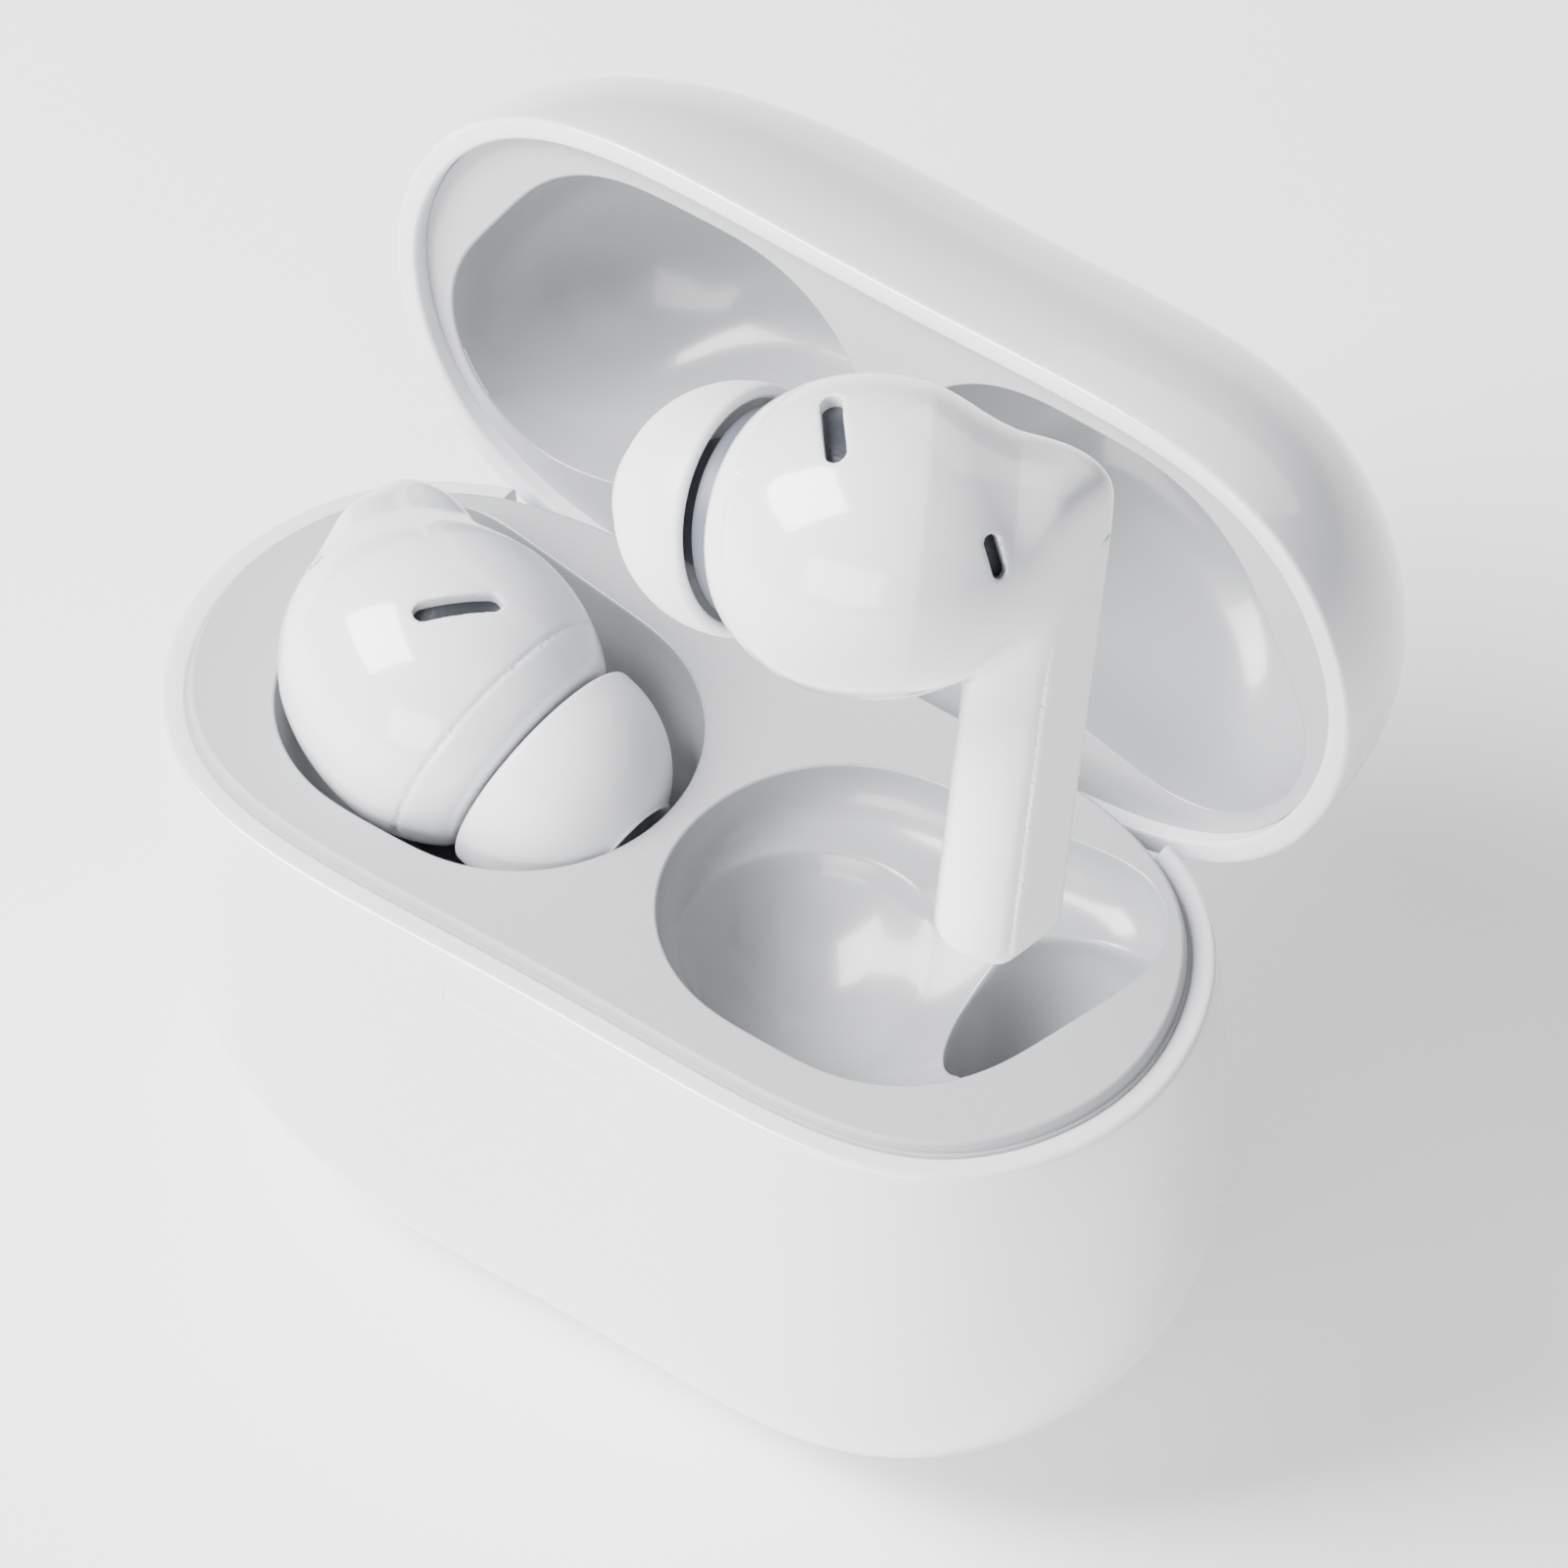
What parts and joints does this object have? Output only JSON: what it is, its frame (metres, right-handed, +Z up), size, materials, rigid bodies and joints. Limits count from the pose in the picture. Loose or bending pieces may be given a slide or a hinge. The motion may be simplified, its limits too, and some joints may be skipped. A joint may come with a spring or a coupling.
{
  "type": "wireless earbuds case",
  "caption": "Pebble-shaped charging case with a hinged lid and two stemmed earbuds; one earbud sits in its well and the other is held out above the case.",
  "frame": {"origin": "centre of the case's flat underside", "axes": "+X along the case to the side of the lifted earbud, +Y back to the hinge, +Z up"},
  "size_m": [0.061, 0.0497, 0.083],
  "materials": {
    "gloss_white": "polished white polycarbonate",
    "grey_liner": "fine-grained grey plastic",
    "light_diffuser": "frosted diffuser",
    "circuit_board": "solder mask",
    "led_body": "moulded",
    "black_plastic": "moulded",
    "bright_steel": "plain stamped",
    "hinge_metal": "satin",
    "cell_wrap": "wrapped cell",
    "flex_film": "polyimide film",
    "magnet": "nickel plated",
    "gold": "gold plated",
    "silicone": "satin silicone",
    "dark_mesh": "dark woven mesh"
  },
  "bodies": {
    "case": {"base_shell": "gloss_white", "inner_tray": "grey_liner", "status_light_bar": "light_diffuser", "front_board": "circuit_board", "status_led": "led_body", "hall_sensor": "black_plastic", "usb_c_shell": "bright_steel", "usb_c_tongue": "black_plastic", "main_board": "circuit_board", "case_battery": "cell_wrap", "charging_flex": "flex_film", "button_board": "circuit_board", "dome_switch": "bright_steel", "hinge_pin": "bright_steel", "hinge_bracket": "hinge_metal", "hinge_springs": "bright_steel", "latch_magnets": "magnet", "pin_block_left": "black_plastic", "pin_block_right": "black_plastic"},
    "button": {"pairing_button": "gloss_white"},
    "pins_left": {"charging_pins_left": "gold"},
    "pins_right": {"charging_pins_right": "gold"},
    "lid": {"lid_shell": "gloss_white", "lid_liner": "grey_liner", "lid_hinge_arm": "hinge_metal", "lid_magnets": "magnet"},
    "earbud_left": {"bud_left_shell": "gloss_white", "bud_left_stem_cap": "gloss_white", "bud_left_ear_tip": "silicone", "bud_left_nozzle_grille": "dark_mesh", "bud_left_vent_mesh": "dark_mesh", "bud_left_mic_mesh": "dark_mesh", "bud_left_driver": "bright_steel", "bud_left_battery": "cell_wrap", "bud_left_board": "circuit_board", "bud_left_contacts": "gold", "bud_left_magnet": "magnet"},
    "earbud_right": {"bud_right_shell": "gloss_white", "bud_right_stem_cap": "gloss_white", "bud_right_ear_tip": "silicone", "bud_right_nozzle_grille": "dark_mesh", "bud_right_vent_mesh": "dark_mesh", "bud_right_mic_mesh": "dark_mesh", "bud_right_driver": "bright_steel", "bud_right_battery": "cell_wrap", "bud_right_board": "circuit_board", "bud_right_contacts": "gold", "bud_right_magnet": "magnet"}
  },
  "joints": [
    {"name": "lid_hinge", "type": "hinge", "parent": "case", "child": "lid", "pos_m": [0, 0.01259, 0.03042], "axis": [-1, 0, 0], "range_deg": [-99, 2]},
    {"name": "earbud_left_lift", "type": "slide", "parent": "case", "child": "earbud_left", "axis": [0, 0.2907, 0.9568], "range_m": [0, 0.03]},
    {"name": "earbud_right_lift", "type": "slide", "parent": "case", "child": "earbud_right", "axis": [0, 0.2907, 0.9568], "range_m": [0, 0.012]},
    {"name": "pairing_button_press", "type": "slide", "parent": "case", "child": "button", "axis": [0, -1, 0], "range_m": [0, 0.0003], "stiffness_N_per_m": 400},
    {"name": "charging_pins_left_press", "type": "slide", "parent": "case", "child": "pins_left", "axis": [0, 0, -1], "range_m": [0, 0.0004], "stiffness_N_per_m": 200},
    {"name": "charging_pins_right_press", "type": "slide", "parent": "case", "child": "pins_right", "axis": [0, 0, -1], "range_m": [0, 0.0004], "stiffness_N_per_m": 200}
  ]
}
